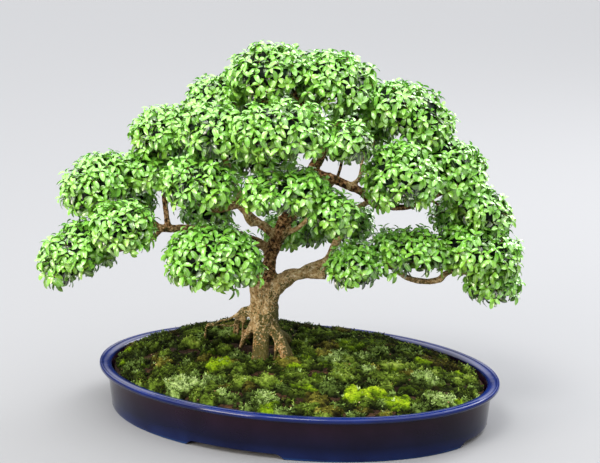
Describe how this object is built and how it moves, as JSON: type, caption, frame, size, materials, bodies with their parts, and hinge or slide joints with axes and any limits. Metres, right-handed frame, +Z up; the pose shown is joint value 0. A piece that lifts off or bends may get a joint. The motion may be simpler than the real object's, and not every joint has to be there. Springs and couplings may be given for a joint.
{
  "type": "ficus bonsai in its pot",
  "caption": "Informal upright bonsai tree with rounded leaf pads on bare branches, in mossy soil in a low oval glazed pot with a flat lip.",
  "frame": {"origin": "on the surface that the pot stands on, under the middle of the whole part's box", "axes": "+X along the pot's long axis, +Y towards the pot's back, +Z up"},
  "size_m": [0.5368, 0.3946, 0.4508],
  "materials": {
    "glaze": "smooth deep blue gloss glaze, lighter on the lip",
    "screen": "black plastic mesh over the drain holes",
    "soil": "damp dark brown granular soil, matt",
    "moss": "short dense moss in cushions of several greens, matt",
    "bark": "light tan bark, rough and flaking above, with green algae low down",
    "leaves": "small glossy yellow-green leaves, darker and bluer inside the crown"
  },
  "bodies": {
    "root": {"pot": "glaze", "drain_screen_left": "screen", "drain_screen_right": "screen", "soil": "soil", "moss": "moss", "tree": "bark", "foliage_left_low": "leaves", "foliage_left_low_front": "leaves", "foliage_left_middle": "leaves", "foliage_left_middle_inner": "leaves", "foliage_left_upper": "leaves", "foliage_left_front_upper": "leaves", "foliage_top_left": "leaves", "foliage_apex": "leaves", "foliage_apex_right": "leaves", "foliage_top_front": "leaves", "foliage_front_right_upper": "leaves", "foliage_right_upper": "leaves", "foliage_right_middle": "leaves", "foliage_right_outer": "leaves", "foliage_right_outer_low": "leaves", "foliage_right_low": "leaves", "foliage_right_tip": "leaves", "foliage_right_low_inner": "leaves", "foliage_right_low_front": "leaves", "foliage_centre_front": "leaves", "foliage_centre_front_low": "leaves", "foliage_left_centre": "leaves", "foliage_left_low_centre": "leaves", "foliage_back_centre": "leaves", "foliage_back_right_low": "leaves", "foliage_back_left_low": "leaves", "foliage_back_upper": "leaves", "foliage_back_upper_right": "leaves", "foliage_back_left": "leaves", "foliage_back_middle": "leaves", "foliage_back_right": "leaves", "foliage_back_right_outer": "leaves", "foliage_back_right_tip": "leaves", "foliage_back_left_outer": "leaves"}
  },
  "joints": []
}
